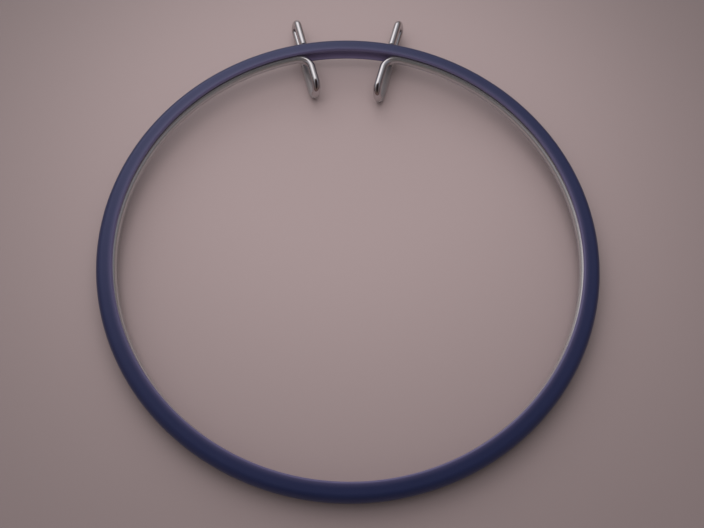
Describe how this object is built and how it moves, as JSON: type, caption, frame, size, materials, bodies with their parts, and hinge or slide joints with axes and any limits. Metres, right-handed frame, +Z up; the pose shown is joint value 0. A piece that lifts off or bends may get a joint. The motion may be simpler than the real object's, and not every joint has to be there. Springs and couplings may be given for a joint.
{
  "type": "embroidery hoop",
  "caption": "Spring-tension embroidery hoop: a grooved plastic ring around a sprung wire ring, whose ends are bent into looped handles that are squeezed together to free the cloth.",
  "frame": {"origin": "on the table under the middle of the hoop's outline, as it lies on its near edge and on the inner ends of its handles", "axes": "+Y from the middle of the hoop towards the handles, +Z up, +X to the right; the hoop's own axis leans 1.94 degrees back from +Z, towards -Y"},
  "size_m": [0.14, 0.1516, 0.0094],
  "materials": {
    "plastic": "satin moulded navy plastic",
    "plated_wire": "bright plated spring steel wire"
  },
  "bodies": {
    "outer_ring": {"outer_ring": "plastic"},
    "wire_back": {"wire_back": "plated_wire"},
    "wire_left": {"wire_left": "plated_wire"},
    "wire_right": {"wire_right": "plated_wire"}
  },
  "joints": [
    {"name": "turn_in_groove", "type": "hinge", "parent": "outer_ring", "child": "wire_back", "pos_m": [0, -0.0058, 0.00471], "axis": [0, -0.0339, 0.9994], "continuous": true},
    {"name": "squeeze_left", "type": "hinge", "parent": "wire_back", "child": "wire_left", "pos_m": [-0.00459, -0.07205, 0.00246], "axis": [0, 0.0339, -0.9994], "range_deg": [0, 3.5], "stiffness_Nm_per_rad": 5.5, "springref_deg": -1.15},
    {"name": "squeeze_right", "type": "hinge", "parent": "wire_back", "child": "wire_right", "pos_m": [0.00459, -0.07205, 0.00246], "axis": [0, -0.0339, 0.9994], "range_deg": [0, 3.5], "stiffness_Nm_per_rad": 5.5, "springref_deg": -1.15}
  ],
  "couplings": [
    {"joint": "squeeze_right", "follows": "squeeze_left", "ratio": 1}
  ]
}
